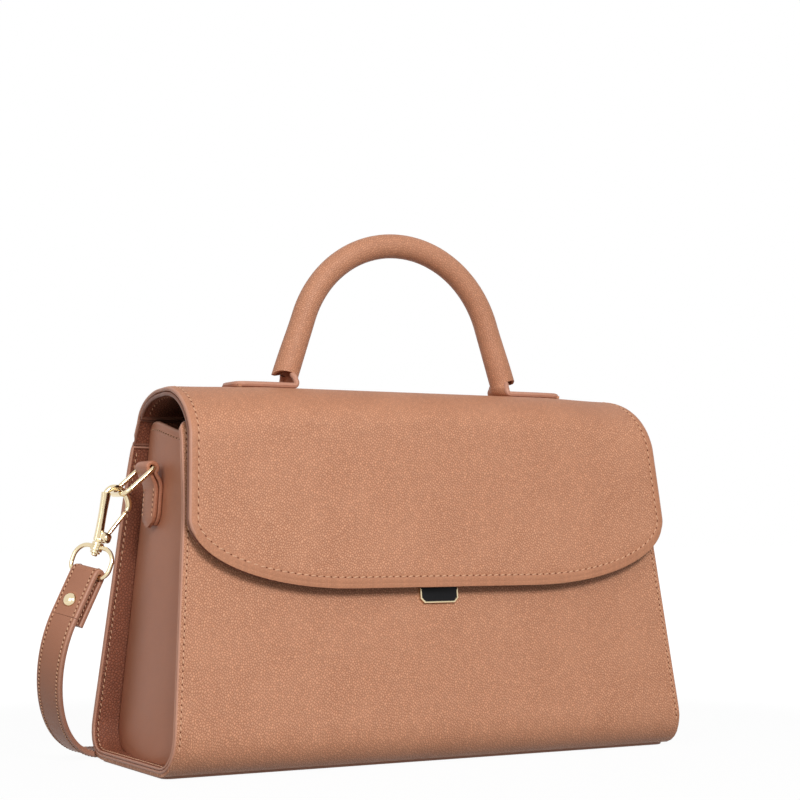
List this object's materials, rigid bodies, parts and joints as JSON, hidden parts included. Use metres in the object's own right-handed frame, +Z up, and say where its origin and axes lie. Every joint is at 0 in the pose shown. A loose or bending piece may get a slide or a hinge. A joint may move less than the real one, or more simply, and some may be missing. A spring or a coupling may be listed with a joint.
{
  "type": "handbag",
  "caption": "Structured flap handbag with a rolled top handle, magnetic catch plate and a flat shoulder strap on snap hooks.",
  "frame": {"origin": "centre of the base, on the surface that the bag stands on", "axes": "+X to the right seen from the front, -Y out of the front, +Z up"},
  "size_m": [0.3684, 0.1353, 0.2674],
  "materials": {
    "grained_leather": "pebbled, low sheen",
    "smooth_leather": "smooth, satin",
    "strap_leather": "smooth, satin",
    "pale_gold": "polished pale gold plating",
    "black_enamel": "glossy enamel",
    "lining_textile": "woven",
    "board": "matte fibre board",
    "steel": "plain",
    "handle_core": "twisted rope"
  },
  "bodies": {
    "bag": {"front_panel": "grained_leather", "back_panel": "grained_leather", "base_panel": "grained_leather", "wrap_facing": "grained_leather", "back_top_strip": "grained_leather", "base_sole": "smooth_leather", "base_board": "board", "gusset_left": "smooth_leather", "gusset_right": "smooth_leather", "lining": "lining_textile", "lock_plate": "pale_gold", "lock_inlay": "black_enamel", "catch_magnet": "steel", "side_tab_left": "smooth_leather", "side_tab_right": "smooth_leather", "strap_long": "strap_leather"},
    "flap": {"flap_leather": "grained_leather", "flap_lining": "smooth_leather", "flap_keeper": "steel", "handle_tab_left": "smooth_leather", "handle_tab_right": "smooth_leather"},
    "handle": {"handle_cover": "grained_leather", "handle_core": "handle_core"},
    "ring_left": {"d_ring_left": "pale_gold"},
    "hang_left": {"strap_ring_left": "pale_gold", "strap_loop_left": "strap_leather", "strap_rivet_left": "pale_gold", "strap_drop_left": "strap_leather"},
    "hook_left": {"hook_body_left": "pale_gold", "gate_pin_left": "pale_gold", "gate_spring_left": "steel"},
    "gate_left": {"hook_gate_left": "pale_gold"},
    "ring_right": {"d_ring_right": "pale_gold"},
    "hang_right": {"strap_ring_right": "pale_gold", "strap_loop_right": "strap_leather", "strap_rivet_right": "pale_gold", "strap_drop_right": "strap_leather"},
    "hook_right": {"hook_body_right": "pale_gold", "gate_pin_right": "pale_gold", "gate_spring_right": "steel"},
    "gate_right": {"hook_gate_right": "pale_gold"}
  },
  "joints": [
    {"name": "flap_open", "type": "hinge", "parent": "bag", "child": "flap", "pos_m": [0, 0.03655, 0.17], "axis": [-1, 0, 0], "range_deg": [0, 150]},
    {"name": "handle_lean", "type": "hinge", "parent": "flap", "child": "handle", "pos_m": [0, -0.007, 0.1865], "axis": [1, 0, 0], "range_deg": [-20, 20], "stiffness_Nm_per_rad": 0.1},
    {"name": "strap_swing_left", "type": "hinge", "parent": "bag", "child": "hang_left", "pos_m": [-0.131, 0.01, 0.1455], "axis": [0, 1, 0], "range_deg": [-8, 12], "stiffness_Nm_per_rad": 0.4, "deforming": ["strap_drop_left"]},
    {"name": "ring_swing_left", "type": "hinge", "parent": "bag", "child": "ring_left", "pos_m": [-0.131, 0.01, 0.1455], "axis": [0, 1, 0], "range_deg": [-8, 12]},
    {"name": "hook_swivel_left", "type": "hinge", "parent": "hang_left", "child": "hook_left", "pos_m": [-0.1568, 0.01, 0.1072], "axis": [0.3486, 0, 0.9373], "range_deg": [-25, 25]},
    {"name": "gate_open_left", "type": "hinge", "parent": "hook_left", "child": "gate_left", "pos_m": [-0.15267, 0.01, 0.11142], "axis": [0, -1, 0], "range_deg": [0, 22], "stiffness_Nm_per_rad": 0.002, "springref_deg": -17.19},
    {"name": "strap_swing_right", "type": "hinge", "parent": "bag", "child": "hang_right", "pos_m": [0.131, 0.01, 0.1455], "axis": [0, -1, 0], "range_deg": [-8, 12], "stiffness_Nm_per_rad": 0.4, "deforming": ["strap_drop_right"]},
    {"name": "ring_swing_right", "type": "hinge", "parent": "bag", "child": "ring_right", "pos_m": [0.131, 0.01, 0.1455], "axis": [0, -1, 0], "range_deg": [-8, 12]},
    {"name": "hook_swivel_right", "type": "hinge", "parent": "hang_right", "child": "hook_right", "pos_m": [0.1568, 0.01, 0.1072], "axis": [-0.3486, 0, 0.9373], "range_deg": [-25, 25]},
    {"name": "gate_open_right", "type": "hinge", "parent": "hook_right", "child": "gate_right", "pos_m": [0.15267, 0.01, 0.11142], "axis": [0, 1, 0], "range_deg": [0, 22], "stiffness_Nm_per_rad": 0.002, "springref_deg": -17.19}
  ],
  "couplings": [
    {"joint": "ring_swing_left", "follows": "strap_swing_left", "ratio": 1},
    {"joint": "ring_swing_right", "follows": "strap_swing_right", "ratio": 1}
  ]
}
